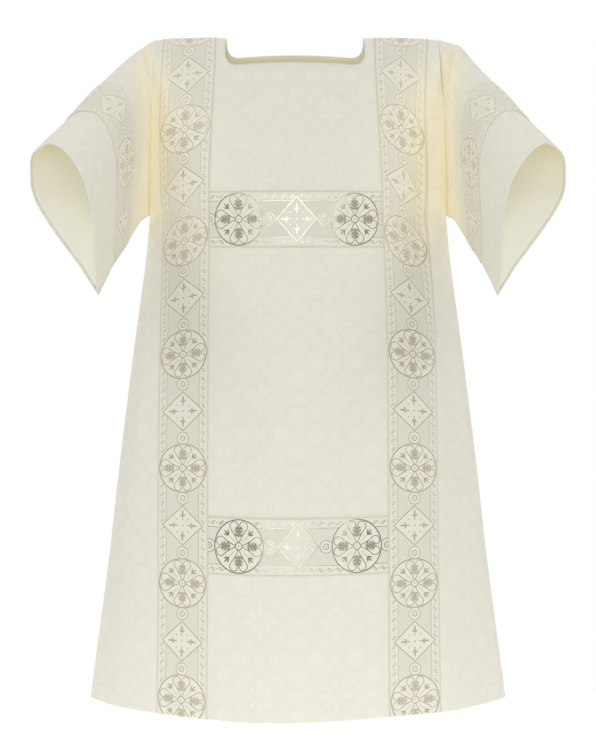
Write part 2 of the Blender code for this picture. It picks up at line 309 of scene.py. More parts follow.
def make_shell(name, outer, inner, uv, keep=None, closed=False, glow=None):
    """A cloth shell between two grids of points, with its edges closed.

    The map "cloth" holds the places across and along the cloth in metres, and the map
    "OFBake" spreads the outside, the inside and the edges over a square. The float
    attribute that it adds holds the painted light and shade: where glow and shade are
    painted on the cloth.
    """
    rows, width = outer.shape[:2]
    spans = width if closed else width - 1
    keep = np.ones((rows - 1, spans), bool) if keep is None else keep
    wide = np.concatenate([outer, outer[:, :1]], axis=1) if closed else outer
    deep = np.concatenate([inner, inner[:, :1]], axis=1) if closed else inner
    turn = np.cross(wide[1:, :-1] - wide[:-1, 1:], wide[1:, 1:] - wide[:-1, :-1])
    flip = np.sum(turn * (wide - deep)[:-1, :-1]) < 0
    count = rows * width
    points = np.concatenate([outer.reshape(-1, 3), inner.reshape(-1, 3)])
    faces, cloth, side = [], [], []
    around = ((0, -1), (1, 0), (0, 1), (-1, 0))

    for i, j in np.argwhere(keep):
        k = (j + 1) % width
        quad = [i * width + j, (i + 1) * width + j, (i + 1) * width + k, i * width + k]
        spots = [uv[i, j], uv[i + 1, j], uv[i + 1, j + 1], uv[i, j + 1]]
        walls = []
        for a, (down, along) in enumerate(around):
            m, n = i + down, j + along
            n = n % width if closed else n
            if not (0 <= m < rows - 1 and 0 <= n < spans and keep[m, n]):
                p, q = quad[a], quad[(a + 1) % 4]
                s, t = spots[a], spots[(a + 1) % 4]
                walls.append(([q, p, p + count, q + count], [t, s, s, t]))
        quads = [(quad, spots, 0), ([c + count for c in quad[::-1]], spots[::-1], 1)]
        quads += [(corners, places, 2) for corners, places in walls]
        for corners, places, which in quads:
            faces.append(corners[::-1] if flip else corners)
            cloth.append(places[::-1] if flip else places)
            side.append(which)

    used = np.unique([c for face in faces for c in face])
    renumber = np.full(2 * count, -1)
    renumber[used] = np.arange(len(used))
    mesh = bpy.data.meshes.new(name)
    mesh.from_pydata(points[used].tolist(), [], renumber[np.array(faces)].tolist())
    corners = np.array(cloth, float).reshape(-1, 2)
    mesh.uv_layers.new(name="cloth").data.foreach_set("uv", corners.ravel())
    mesh.uv_layers.new(name="OFBake").data.foreach_set("uv", bake_places(corners, side).ravel())
    mesh.uv_layers["cloth"].active_render = True
    mesh.polygons.foreach_set("use_smooth", [True] * len(mesh.polygons))
    # Painted light and shade: one value for each point, on both sides of the shell.
    glow = np.zeros((rows, width)) if glow is None else glow
    painted_light_layer = mesh.attributes.new("glow", "FLOAT", "POINT")
    painted_light_layer.data.foreach_set("value", np.tile(glow.ravel(), 2)[used].astype(np.float32))
    return add_object(name, mesh)


def add_object(name, data):
    """An object with the given data, in the scene."""
    thing = bpy.data.objects.new(name, data)
    bpy.context.scene.collection.objects.link(thing)
    return thing


def bake_places(corners, side):
    """Places of the shell's faces on the bake's square.

    The outside lies there large, the inside small, and the edges in a column beside them.
    A long piece is cut into strips that lie side by side.
    """
    margin, apart = 0.004, 1.03
    outside_width, inside_start, inside_width = 0.60, 0.62, 0.30
    column_start, column_width, per_row, filled = 0.93, 0.068, 14, 0.8
    height = 0.95
    side = np.repeat(side, 4)
    low = corners.min(0)
    size = corners.max(0) - low
    strips = 4 if size[1] > 4 * size[0] else 1
    run = size[1] / strips
    middle = (corners - low).reshape(-1, 4, 2)[:, :, 1].mean(1)
    strip = np.minimum(np.repeat(np.floor(middle / run), 4), strips - 1)
    local = np.stack([
        corners[:, 0] - low[0] + strip * size[0] * apart,
        corners[:, 1] - low[1] - strip * run,
    ], axis=1)
    wide = size[0] * (1 + apart * (strips - 1))
    outside = local * min(height / run, outside_width / wide) + margin
    inside = local * [inside_width / wide, height / run] + [inside_start, margin]
    walls = np.flatnonzero(side.reshape(-1, 4)[:, 0] == 2)
    places = np.where((side == 0)[:, None], outside, inside)
    tall = 0.98 / max(1, math.ceil(len(walls) / per_row))
    for order, face in enumerate(walls):
        x = column_start + column_width * (order % per_row) / per_row
        y = margin + tall * (order // per_row)
        w, h = filled * column_width / per_row, filled * tall
        places[4 * face:4 * face + 4] = [(x, y), (x + w, y), (x + w, y + h), (x, y + h)]
    return places


def edge_rounding(distance, wall):
    """How much of the wall an edge loses on the outside, as a turned edge does."""
    return wall * 0.55 * np.exp(-(distance / (0.9 * wall)) ** 2)


def show(piece, node, slot, finish, **cloth):
    """Gives a piece its finish, hangs it from the body's root and hides the imported part it
    replaces.
    """
    piece.data.materials.append(finish)
    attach(piece, "root")
    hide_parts(node)


def panel_grid(face, depth=HEM, reach=None):
    """Places of a panel's rows and columns, fine beside its edges, and the cells that are cloth.

    A smaller depth and reach give only the cloth round the neck.
    """
    marks = [0, NECK_DROP[face]] + [UNDERARM] * (depth > UNDERARM) + [depth]
    drops = row_drops(face, marks)
    halves = np.array([reach or half_length(face, drop) for drop in drops])[:, None]
    neck = np.repeat(np.linspace(0, NECK_HALF, NECK_CELLS + 1)[None], len(drops), axis=0)
    cells = SIDE_CELLS if reach is None else FACING_CELLS
    beyond = NECK_HALF + (halves - FRINGE[2] - NECK_HALF) * np.linspace(0, 1, cells + 1)[1:]
    half = np.concatenate([neck, beyond, halves - [FRINGE[1], FRINGE[0], 0.0]], axis=1)
    across = np.concatenate([-half[:, :0:-1], half], axis=1)
    middle = half.shape[1] - 1
    neck_row = int(np.argmin(np.abs(drops - NECK_DROP[face])))
    keep = np.ones((len(drops) - 1, across.shape[1] - 1), bool)
    keep[:neck_row, middle - NECK_CELLS:middle + NECK_CELLS] = False
    return drops, across, keep, middle


def round_neck(points, drops, across, face):
    """Rounds the neck's corners and lifts the middle of its edge a little."""
    level = unit(np.gradient(points, axis=1))
    downward = unit(np.gradient(points, axis=0))
    below = spread(drops, across) - NECK_DROP[face]
    beside = np.abs(across) - NECK_HALF
    away = np.maximum(np.maximum(beside, below), 0)
    turn = np.clip((below - beside) / NECK_CORNER, -1, 1)
    angle = (turn + 1) * math.pi / 4
    out = -1 + np.cos(angle) + np.maximum(turn, 0)
    up = 1 - np.sin(angle) + np.minimum(turn, 0)
    fade = NECK_CORNER * np.exp(-away / (0.55 * NECK_CORNER))
    lift = NECK_RISE * np.clip(1 - (across / NECK_HALF) ** 2, 0, 1) * np.exp(-away / 0.022)
    shift = level * (np.sign(across) * out * fade)[..., None]
    return points + shift - downward * (up * fade + lift)[..., None]


def panel_sheet(face, depth=HEM, reach=None):
    """A panel's points, normals, places, kept cells and distances from its cut edges."""
    drops, across, keep, middle = panel_grid(face, depth, reach)
    points, normals = body_shape(face, drops, across)
    points = round_neck(points, drops, across, face)
    normals = grid_normals(points, np.array([0, SIGN[face], 0]))
    down = spread(drops, across)
    walked = lengths_along(points[:, middle])
    first_tie = np.interp(FIRST_TIE, drops, walked)
    uv = np.stack([across, spread(first_tie - walked, across)], axis=2)
    from_side = across[:, -1:] - np.abs(across)
    from_neck = np.maximum(np.abs(across) - NECK_HALF, down - NECK_DROP[face])
    from_neck = np.where(from_neck < -1e-6, 1.0, from_neck)
    seam = 0.25 if reach is None else 1.0
    edges = (from_side / seam, depth - down, walked[:, None] / seam, from_neck)
    return points, normals, uv, keep, edges


# Strength of the painted glow and warm shade beside an armhole and how far it reaches,
# wearer's left and right.
PAINTED_ARMHOLE_GLOW = ((0.78, 0.88), (0.075, 0.042))


def painted_armhole_glow(face, drops, across):
    """Where glow and warm shade are painted beside the armholes, from 0 to 1."""
    from_side = edge_distance(face, drops, across)
    strength, reach = (np.where(across > 0, *pair) for pair in PAINTED_ARMHOLE_GLOW)
    upright = np.clip((drops - 0.03) / 0.09, 0, 1) * np.clip((0.52 - drops) / 0.20, 0, 1)
    return strength * np.exp(-(from_side / reach) ** 2) * upright[:, None]


def make_panel(name, face):
    points, normals, uv, keep, edges = panel_sheet(face)
    hollow = np.minimum(sum(edge_rounding(d, CLOTH) for d in edges), 0.7 * CLOTH)
    drops, across, _, _ = panel_grid(face)
    outer = points - normals * hollow[..., None]
    # Painted glow and warm shade beside the armholes.
    return make_shell(name, outer, points - normals * CLOTH, uv, keep,
                      glow=painted_armhole_glow(face, drops, across))


class Strand:
    """A value that changes over the cloth. Arithmetic on strands adds Math nodes."""

    def __init__(self, tree, socket):
        self.tree = tree
        self.socket = socket

    def __add__(self, other):
        return worked("ADD", self, other)

    def __sub__(self, other):
        return worked("SUBTRACT", self, other)

    def __rsub__(self, other):
        return worked("SUBTRACT", other, self)

    def __mul__(self, other):
        return worked("MULTIPLY", self, other)

    def __truediv__(self, other):
        return worked("DIVIDE", self, other)

    def __abs__(self):
        return worked("ABSOLUTE", self)


def feed(tree, socket, value):
    """Links an input to a strand or a socket, or gives it a plain value or a colour."""
    value = getattr(value, "socket", value)
    if isinstance(value, bpy.types.NodeSocket):
        tree.links.new(value, socket)
    elif isinstance(value, tuple) and len(value) < len(socket.default_value):
        socket.default_value = (*value, 1)
    else:
        socket.default_value = value


def new_node(tree, kind, inputs, **settings):
    """A node with its settings made and its inputs fed, by name or by number."""
    node = tree.nodes.new(kind)
    for setting, value in settings.items():
        setattr(node, setting, value)
    for label, value in inputs.items():
        feed(tree, node.inputs[label], value)
    return node


def worked(operation, *values):
    tree = next(value.tree for value in values if isinstance(value, Strand))
    node = new_node(tree, "ShaderNodeMath", dict(enumerate(values)), operation=operation)
    return Strand(tree, node.outputs[0])


def least(*values):
    return reduce(lambda a, b: worked("MINIMUM", a, b), values)


def most(*values):
    return reduce(lambda a, b: worked("MAXIMUM", a, b), values)


def span(a, b):
    """The distance of a place from the point where a and b are 0."""
    joined = new_node(a.tree, "ShaderNodeCombineXYZ", {0: a, 1: b})
    length = new_node(a.tree, "ShaderNodeVectorMath", {0: joined.outputs[0]}, operation="LENGTH")
    return Strand(a.tree, length.outputs["Value"])


def turned(a, b, degrees):
    """The place (a, b) measured along and aside of a line at an angle."""
    cosine, sine = math.cos(math.radians(degrees)), math.sin(math.radians(degrees))
    along = worked("MULTIPLY_ADD", a, cosine, b * sine)
    aside = worked("MULTIPLY_ADD", b, cosine, a * -sine)
    return along, aside


def blade(along, aside, length, width):
    """Distance outside a pointed leaf that grows from 0 along a line."""
    part = worked("MULTIPLY_ADD", along, 2 / length, -1.0)
    return worked("MULTIPLY_ADD", part * part, width / 2, abs(aside)) - width / 2


def stroke(along, aside, length, width):
    """Distance outside a straight line from 0 to its length."""
    beyond = most(along * -1.0, along - length, 0.0)
    return span(beyond, aside) - width / 2


def repeated(value, pitch):
    """The value counted from the nearest multiple of a pitch."""
    return worked("WRAP", value, pitch / 2, -pitch / 2)


def drawn(distance, softness):
    """1 inside a figure and 0 outside it, with a soft edge."""
    node = new_node(distance.tree, "ShaderNodeMapRange",
                    {"Value": distance, "From Min": softness, "From Max": -softness})
    return Strand(distance.tree, node.outputs["Result"])


def group_sockets(tree, in_out, kind, labels):
    for label in labels:
        tree.interface.new_socket(label, in_out=in_out, socket_type="NodeSocket" + kind)


def cloth_group(name, inputs, outputs):
    """A shader group that reads a place on the cloth. Returns it and its place in millimetres."""
    tree = bpy.data.node_groups.new(name, "ShaderNodeTree")
    group_sockets(tree, "INPUT", "Vector", ["Place"])
    group_sockets(tree, "INPUT", "Float", inputs)
    group_sockets(tree, "OUTPUT", "Float", outputs)
    entry = tree.nodes.new("NodeGroupInput")
    parts = new_node(tree, "ShaderNodeSeparateXYZ", {0: entry.outputs["Place"]})
    across = Strand(tree, parts.outputs["X"]) * 1000.0
    along = Strand(tree, parts.outputs["Y"]) * 1000.0
    return tree, entry, across, along


def finish_group(tree, **results):
    new_node(tree, "NodeGroupOutput", results)
    return tree


def cloth_noise(tree, across, along):
    """Uneven values between 0 and 1 at a place given in its own units."""
    joined = new_node(tree, "ShaderNodeCombineXYZ", {0: across, 1: along})
    noise = new_node(tree, "ShaderNodeTexNoise",
                     {"Scale": 1.0, "Detail": 2.0, "Vector": joined.outputs[0]})
    return Strand(tree, noise.outputs["Fac"])


def make_weave():
    """Fine crossing threads, and the slubs and slight cockle that real cloth has."""
    tree, entry, across, along = cloth_group(
        "weave", ["Pitch", "Slub"], ["Height", "Shade"])
    pitch = Strand(tree, entry.outputs["Pitch"])
    slub = Strand(tree, entry.outputs["Slub"])
    warp = worked("SINE", across * 6.2832 / pitch)
    weft = worked("SINE", along * 6.2832 / pitch)
    streaks = cloth_noise(tree, across * 0.035, along * 0.7) - 0.5
    upright = cloth_noise(tree, across * 0.6, along * 0.03) - 0.5
    cockle = cloth_noise(tree, across * 0.045, along * 0.045) - 0.5
    height = warp * weft * 0.5 + (streaks + upright) * 0.6 + cockle * 9.0
    shade = worked("MULTIPLY_ADD", streaks + upright, slub, 1.0)
    return finish_group(tree, Height=height, Shade=shade)


def make_damask_figure():
    """Quatrefoils of double ribbon on a square lattice, with rosettes, ties and leafy crosses."""
    tree, entry, across, along = cloth_group("damask figure", [], ["Figure"])
    x = abs(repeated(across, DAMASK_WIDTH))
    y = abs(repeated(along + DAMASK_LENGTH / 2, DAMASK_LENGTH) * (DAMASK_WIDTH / DAMASK_LENGTH))
    p, q = most(x, y), least(x, y)
    lobe = span(p - 33.0, q)
    arc = least(abs(lobe - 33.0) - 1.5, abs(lobe - 28.0) - 0.8)
    arc = most(arc, 25.0 - p * 0.5 - q * 0.42)
    run, aside = turned(p - 54.5, q - 25.0, 128.6)
    ribbon = most(least(abs(aside - 2.6), abs(aside + 2.6)) - 0.9, run * -1.0)
    rosette_x = span(p - 32.0, q)
    ring = abs(rosette_x - 17.0) - 1.0
    spokes = [turned(p - 32.0, q, angle) for angle in (0, 45, 90, 135, 180)]
    petals = [blade(a - 3.0, b, 12.0, 7.0) for a, b in spokes]
    eye = rosette_x - 2.4
    middle = least(span(p, q) - 3.0, abs(span(p, q) - 9.0) - 1.0)
    tie = most(abs(p - 67.0) - 6.0, abs(q) - 5.0)
    stripes = most(tie, abs(repeated(q, 3.6)) - 1.1)
    far_p, far_q = DAMASK_WIDTH / 2 - x, DAMASK_WIDTH / 2 - y
    leaf_p, leaf_q = most(far_p, far_q), least(far_p, far_q)
    axis = blade(leaf_p - 8.0, leaf_q, 27.0, 9.5)
    diagonal, beside = turned(leaf_p, leaf_q, 45)
    corner = blade(diagonal - 8.0, beside, 19.0, 8.0)
    axis = most(axis, (abs(leaf_q) - 0.6) * -1.0)
    hub = abs(span(leaf_p, leaf_q) - 5.0) - 1.2
    shape = least(arc, ribbon, ring, eye, middle, stripes, axis, corner, hub, *petals)
    return finish_group(tree, Figure=drawn(shape, 0.45))


def new_material(name, inputs):
    """A material with its shader's inputs given."""
    material = bpy.data.materials.new(name)
    material.use_nodes = True
    shader = material.node_tree.nodes["Principled BSDF"]
    for label, value in inputs.items():
        feed(material.node_tree, shader.inputs[label], value)
    return material


def finish_of_cloth(name, roughness, sheen):
    """A material with a matt sheen. Returns it, its tree, its shader and the cloth's place."""
    material = new_material(name, {
        "Roughness": roughness,
        "Sheen Weight": sheen,
        "Sheen Roughness": 0.45,
        "Sheen Tint": (1.0, 0.98, 0.92),
    })
    tree = material.node_tree
    place = new_node(tree, "ShaderNodeUVMap", {}, uv_map="cloth")
    return material, tree, tree.nodes["Principled BSDF"], place


def placed(tree, group, place, **values):
    """A group in a material, reading the place on the cloth, with its own values."""
    return new_node(tree, "ShaderNodeGroup", {"Place": place.outputs["UV"], **values},
                    node_tree=group)


def tinted(tree, factor, low, high):
    """The colour low where the factor is 0 and high where it is 1."""
    mix = new_node(tree, "ShaderNodeMix", {0: factor}, data_type="RGBA")
    feed(tree, mix.inputs[6], low)
    feed(tree, mix.inputs[7], high)
    return mix.outputs[2]


def shaded(tree, colour, shade):
    """A colour made lighter or darker by a value near 1."""
    node = new_node(tree, "ShaderNodeVectorMath", {0: colour, "Scale": shade}, operation="SCALE")
    return node.outputs[0]


def multiplied(tree, colour, other):
    """The product of two colours."""
    node = new_node(tree, "ShaderNodeVectorMath", {0: colour, 1: other}, operation="MULTIPLY")
    return node.outputs[0]


def painted_light_and_shade_of(tree):
    """The attribute that says where glow and shade are painted on the cloth."""
    return new_node(tree, "ShaderNodeAttribute", {}, attribute_name="glow").outputs["Fac"]


def raised(tree, shader, height, depth):
    bump = new_node(tree, "ShaderNodeBump", {"Distance": depth, "Height": height})
    feed(tree, shader.inputs["Normal"], bump.outputs["Normal"])


def make_painted_glow():
    """Painted light: a warm painted shade on the colour and a painted glow in the emission."""
    tree = bpy.data.node_groups.new("painted glow", "ShaderNodeTree")
    group_sockets(tree, "INPUT", "Color", ["Colour"])
    group_sockets(tree, "OUTPUT", "Color", ["Colour", "Light"])
    entry = tree.nodes.new("NodeGroupInput")
    glow = painted_light_and_shade_of(tree)
    painted_warmth = tinted(tree, glow, (1.0, 1.0, 1.0), PAINTED_WARM_SHADE)
    return finish_group(tree, Colour=multiplied(tree, entry.outputs["Colour"], painted_warmth),
                        Light=tinted(tree, glow, PAINTED_GLOW_ALL_OVER, PAINTED_GLOW_AT_ARMHOLE))


def with_painted_glow(tree, shader, colour):
    """Gives the shader a colour with painted warm shade and a painted glow. Returns that glow."""
    node = new_node(tree, "ShaderNodeGroup", {}, node_tree=painted_glow_group)
    feed(tree, node.inputs["Colour"], colour)
    feed(tree, shader.inputs["Base Color"], node.outputs["Colour"])
    feed(tree, shader.inputs["Emission Strength"], PAINTED_GLOW_EMISSION)
    return node.outputs["Light"]


def make_damask():
    material, tree, shader, place = finish_of_cloth("damask", 0.6, 0.15)
    figure = placed(tree, damask_figure, place).outputs["Figure"]
    weave = placed(tree, weave_group, place, Pitch=0.9, Slub=0.035)
    colour = tinted(tree, figure, DAMASK_GROUND, DAMASK_FIGURE)
    colour = shaded(tree, colour, weave.outputs["Shade"])
    # Painted light: warm painted shade in the base colour and a painted glow as emission.
    feed(tree, shader.inputs["Emission Color"], with_painted_glow(tree, shader, colour))
    figure = Strand(tree, figure)
    feed(tree, shader.inputs["Roughness"], worked("MULTIPLY_ADD", figure, -0.14, 0.62))
    height = Strand(tree, weave.outputs["Height"]) + figure * 0.8
    raised(tree, shader, height, 0.00012)
    return material


DAMASK_WIDTH = 136.0     # millimetres of damask from one medallion to the next
DAMASK_LENGTH = 133.0
PAINTED_WARM_SHADE = (1.0, 0.962, 0.84)               # painted warm shade that the painted mask gives the colour
# Painted glow: its emission strength, and its colour all over and beside the armholes.
PAINTED_GLOW_EMISSION = 0.3
PAINTED_GLOW_ALL_OVER = (0.20, 0.18, 0.125)
PAINTED_GLOW_AT_ARMHOLE = (0.62, 0.53, 0.33)
DAMASK_GROUND = (0.815, 0.800, 0.710)
DAMASK_FIGURE = (0.843, 0.830, 0.750)
weave_group = make_weave()
painted_glow_group = make_painted_glow()
damask_figure = make_damask_figure()
damask = make_damask()

show(make_panel("damask_front", "front"), "front_panel", "damask", damask,
     flat=(0.90, 1.29), held="hung", area=0.885)
show(make_panel("damask_back", "back"), "back_panel", "damask", damask,
     flat=(0.88, 1.29), held="hung", area=0.876)

# -----------------------------------------------------------------------------------------
# NECK FACINGS
# A narrow shaped facing of cream satin inside the neck, front and back, sewn to the neck
# edge and turned in. Its inner corner shows as a warm line across the open neck; its satin
# carries painted shade and a faint painted glow.
# -----------------------------------------------------------------------------------------
FACING = 0.0010
FACING_DEPTH = 0.044
FACING_REACH = 0.150
# Share of the lining's painted shade colour laid over the facing.
FACING_PAINTED_SHADE = 0.5
SATIN = (0.800, 0.797, 0.722)
# Colour of the lining's painted shade, then the strength of its painted glow.
SATIN_PAINTED_SHADE = (0.80, 0.70, 0.43)
LINING_PAINTED_GLOW = 0.225


def make_lining():
    material, tree, shader, place = finish_of_cloth("lining", 0.5, 0.12)
    weave = placed(tree, weave_group, place, Pitch=0.6, Slub=0.03)
    tint = shaded(tree, SATIN, weave.outputs["Shade"])
    # Painted shade: the satin is painted dimmer and more golden high in the sleeve, where less
    # light gets in.
    colour = multiplied(tree, tint, tinted(tree, painted_light_and_shade_of(tree), (1.0, 1.0, 1.0), SATIN_PAINTED_SHADE))
    feed(tree, shader.inputs["Base Color"], colour)
    # Painted glow: the lining emits its own colour, which lifts it all over.
    feed(tree, shader.inputs["Emission Color"], colour)
    feed(tree, shader.inputs["Emission Strength"], LINING_PAINTED_GLOW)
    raised(tree, shader, weave.outputs["Height"], 0.00006)
    return material


def make_facing(name, face):
    depth = NECK_DROP[face] + FACING_DEPTH
    points, normals, uv, keep, edges = panel_sheet(face, depth, FACING_REACH)
    thin = sum(edge_rounding(d, FACING) for d in edges)
    hollow = CLOTH + GAP + np.minimum(thin, 0.7 * FACING)
    outer = points - normals * hollow[..., None]
    return make_shell(name, outer, points - normals * (CLOTH + GAP + FACING), uv, keep,
                      glow=np.full(points.shape[:2], FACING_PAINTED_SHADE))


lining = make_lining()
show(make_facing("facing_front", "front"), "neck_facing_front", "lining", lining,
     flat=(0.30, 0.13), held="stretched", area=0.019, rests_on=["damask_front"])
show(make_facing("facing_back", "back"), "neck_facing_back", "lining", lining,
     flat=(0.30, 0.10), held="stretched", area=0.018, rests_on=["damask_back"])

# -----------------------------------------------------------------------------------------
# SLEEVES
# Two wide sleeves of the same damask, each cut in one width, seamed under the arm and set
# into the armhole. They hang forward with the arms and stand open at the cuff.
# -----------------------------------------------------------------------------------------
SLEEVE_LENGTH = 0.393
SLEEVE_CELL = 0.0055
AROUND = 150             # cells round a sleeve
UNDER_LIFT = 0.0040      # how far the inside keeps above the sharp underarm fold
HALF_ROUND = 0.34        # metres from the top of a sleeve to its underarm
SEAM_TURNED_IN = 0.006   # how far the seam allowance lies behind the panels
SLEEVE_PAINTED_GLOW_PLACE = 0.050        # where along the sleeve the painted glow is strongest
SLEEVE_PAINTED_GLOW_REACH = 0.085
SLEEVE_PAINTED_GLOW = (0.95, 0.6)   # strength of the painted glow in front and behind

SLEEVE_FOLDS = [
    Fold("both", 0.34, 0.030, 0.30, 0.300, 0.024, -0.0010),
    Fold("both", 0.62, 0.070, 0.52, 0.360, 0.028, 0.0012),
    Fold("both", 0.80, 0.040, 0.74, 0.330, 0.020, -0.0010),
    Fold("both", 0.16, 0.060, 0.20, 0.393, 0.030, 0.0012),
    Fold("both", -0.22, 0.050, -0.26, 0.360, 0.028, 0.0034),
    Fold("both", -0.46, 0.030, -0.44, 0.393, 0.030, -0.0040),
    Fold("both", -0.70, 0.060, -0.62, 0.350, 0.026, 0.0036),
    Fold("left", 0.00, 0.012, 0.02, 0.052, 0.034, 0.0085),
]


def sleeve_arounds():
    """Places round a sleeve, evenly spaced by length, closer together at the underarm."""
    fine = np.linspace(-1, 1, 2001)
    ring = ring_points(blended(SLEEVE, 0.2), fine)
    walked = lengths_along(ring)
    even = np.linspace(0, walked[-1], AROUND + 1)[:-1]
    return np.interp(even, walked, fine)


def sleeve_places(start, end, close_start=True, close_end=True):
    """Places along a sleeve between two ends, close together beside them."""
    near = [start] + [start + f for f in FRINGE] * close_start
    far = [end] + [end - f for f in FRINGE] * close_end
    return stations(sorted(near + far), SLEEVE_CELL)


def ring_normals(points):
    """Unit normals of rings of points, away from the middle of each ring."""
    return grid_normals(points, points - points.mean(axis=1, keepdims=True), closed=True)


def sleeve_sheet(side, places):
    """Points, normals and places of a sleeve; the side is 1 for the wearer's left."""
    arounds = sleeve_arounds()
    rings = []
    for place in places:
        ring = blended(SLEEVE, place)
        rings.append(ring_points(ring, arounds) + [GAP / 2 if place < 0.004 else 0, 0, 0])
    points = np.stack(rings)
    normals = ring_normals(points)
    around = np.repeat(arounds[None], len(places), axis=0)
    along = spread(places, around)
    measured = [fold._replace(start_across=fold.start_across * HALF_ROUND,
                              end_across=fold.end_across * HALF_ROUND)
                for fold in SLEEVE_FOLDS if fold.face == "both" or side > 0]
    rise = fold_rise(measured, around * HALF_ROUND, along)
    rise += 0.0006 * np.sin(around * 11 + side) * np.clip((along - 0.1) / 0.3, 0, 1)
    rise *= np.clip((along - 0.004) / 0.04, 0, 1) * (1 - np.abs(around) ** 8)
    points = points + normals * rise[..., None]
    points[..., 0] *= side
    normals = ring_normals(points)
    steps = np.linalg.norm(np.diff(points, axis=1, append=points[:, :1]), axis=2)
    walked = np.concatenate([np.zeros((len(places), 1)), np.cumsum(steps, axis=1)], axis=1)
    top = np.argmin(np.abs(arounds))
    walked -= walked[:, top:top + 1]
    return points, normals, np.stack([walked, spread(-places, walked)], axis=2)


def painted_sleeve_glow(places):
    """Where glow and warm shade are painted on the sleeve, in the fold beside the armhole."""
    arounds = sleeve_arounds()
    near = np.exp(-((places - SLEEVE_PAINTED_GLOW_PLACE) / SLEEVE_PAINTED_GLOW_REACH) ** 2)[:, None]
    below_top = np.clip(np.abs(arounds) / 0.35, 0, 1)
    return near * below_top[None] * np.where(arounds > 0, *SLEEVE_PAINTED_GLOW)[None]


def moved_in(points, normals, depth, lift):
    """A sleeve's points moved inwards, and kept clear of the fold under the arm."""
    top = AROUND // 2
    from_fold = np.linalg.norm(points - points[:, :1], axis=2)
    upward = unit(points[:, top:top + 1] - points[:, :1])
    fade = np.exp(-(from_fold / 0.010) ** 2)
    return points - normals * depth + upward * (lift * fade)[..., None]


def make_sleeve(name, side):
    places = sleeve_places(0.0, SLEEVE_LENGTH, close_start=False)
    points, normals, uv = sleeve_sheet(side, places)
    hollow = edge_rounding(SLEEVE_LENGTH - places, CLOTH)[:, None, None]
    outer = points - normals * hollow
    inner = moved_in(points, normals, CLOTH, UNDER_LIFT)
    # The seam allowance turns in behind the panels.
    turn_in = []
    for shell in (outer, inner):
        first = moved_in(shell[:1], normals[:1], 0.0004, 0.002)
        second = moved_in(shell[:1], normals[:1], CLOTH + GAP + 0.0004, 0.004)
        turn_in.append((second - [side * SEAM_TURNED_IN, 0, 0], first - [side * 0.0006, 0, 0]))
    outer = np.concatenate([*turn_in[0], outer])
    inner = np.concatenate([*turn_in[1], inner])
    behind = uv[:1] + [0, SEAM_TURNED_IN], uv[:1] + [0, 0.001]
    # Painted glow and warm shade in the fold beside the armhole.
    glow = painted_sleeve_glow(np.append([0, 0], places))
    return make_shell(name, outer, inner, np.concatenate([*behind, uv]), closed=True, glow=glow)


sides = (("left", 1), ("right", -1))
for label, side in sides:
    show(make_sleeve("damask_sleeve_" + label, side), "sleeve_" + label, "damask", damask,
         flat=(0.74, 0.393), held="hung", area=0.225)

# -----------------------------------------------------------------------------------------
# SLEEVE LININGS
# Plain cream satin inside each sleeve, felled to the turned-in cuff a little back from its
# edge. It follows the sleeve, and eases away from the sharp fold under the arm.
# -----------------------------------------------------------------------------------------
LINING_START = 0.030
LINING_SETBACK = 0.008
LINING_LIFT = 0.009
PAINTED_SHADE_AT_TOP = 0.9       # painted shade: how dim and golden the lining is painted along the top
PAINTED_SHADE_REACH = 0.42       # how far round that painted shade goes, where the underarm is at 1

for label, side in sides:
    places = sleeve_places(LINING_START, SLEEVE_LENGTH - LINING_SETBACK)
    points, normals, uv = sleeve_sheet(side, places)
    ends = np.minimum(places - places[0], places[-1] - places)
    outer = moved_in(points, normals, CLOTH + GAP, LINING_LIFT)
    inside = CLOTH + GAP + FACING - edge_rounding(ends, FACING)[:, None, None]
    # Painted shade along the top of each sleeve lining.
    shade = np.exp(-(sleeve_arounds() / PAINTED_SHADE_REACH) ** 2) * PAINTED_SHADE_AT_TOP
    piece = make_shell("lining_sleeve_" + label, outer,
                       moved_in(points, normals, inside, LINING_LIFT + 0.003), uv, closed=True,
                       glow=np.repeat(shade[None], len(places), axis=0))
    show(piece, "sleeve_lining_" + label, "lining", lining,
         flat=(0.72, 0.355), held="hung", area=0.190, rests_on=["damask_sleeve_" + label])

# -----------------------------------------------------------------------------------------
# LONG BANDS
# Two lengths of figured galloon, each from the front hem over the shoulder to the back hem,
# stitched down along both selvedges. Bright metallic thread draws circles and diamonds.
# -----------------------------------------------------------------------------------------
BAND = 0.104
GALLOON = 0.0010
PUFF = 0.0005            # how far a band rises between its two rows of stitches
REPEAT = 208.4           # millimetres of galloon from one circle to the next
CIRCLE = 45.75
CIRCLE_ACROSS = 47.5
CIRCLE_ALONG = 44.0
DIAMOND_ACROSS = 41.0
DIAMOND_ALONG = 35.5
EYE = 11.3               # the ring that sits between a circle and a diamond
EYE_PLACE = 54.6         # how far along from the circle's centre it lies
BORDER = (33.3, 49.3)    # the two edges of the border, from the middle of the band
SELVEDGE = 50.2          # the middle of the woven edge, from the middle of the band

BandPlace = namedtuple("BandPlace", "drop inner_edge")
BAND_PLACES = [
    BandPlace(0.000, 0.150),
    BandPlace(0.060, 0.150),
    BandPlace(0.350, 0.163),
    BandPlace(1.249, 0.166),
]

# How far the figure slants down outwards, in degrees, by the drop below the shoulder.
BAND_SLANT = {
    1: ((0, 2), (0.08, 11), (0.26, 22), (0.37, 20), (0.48, 15), (0.65, 7), (0.9, 2), (1.2, 0)),
    -1: ((0, 2), (0.08, 8), (0.26, 12), (0.37, 15), (0.48, 12), (0.65, 5), (0.9, 1), (1.2, 0)),
}


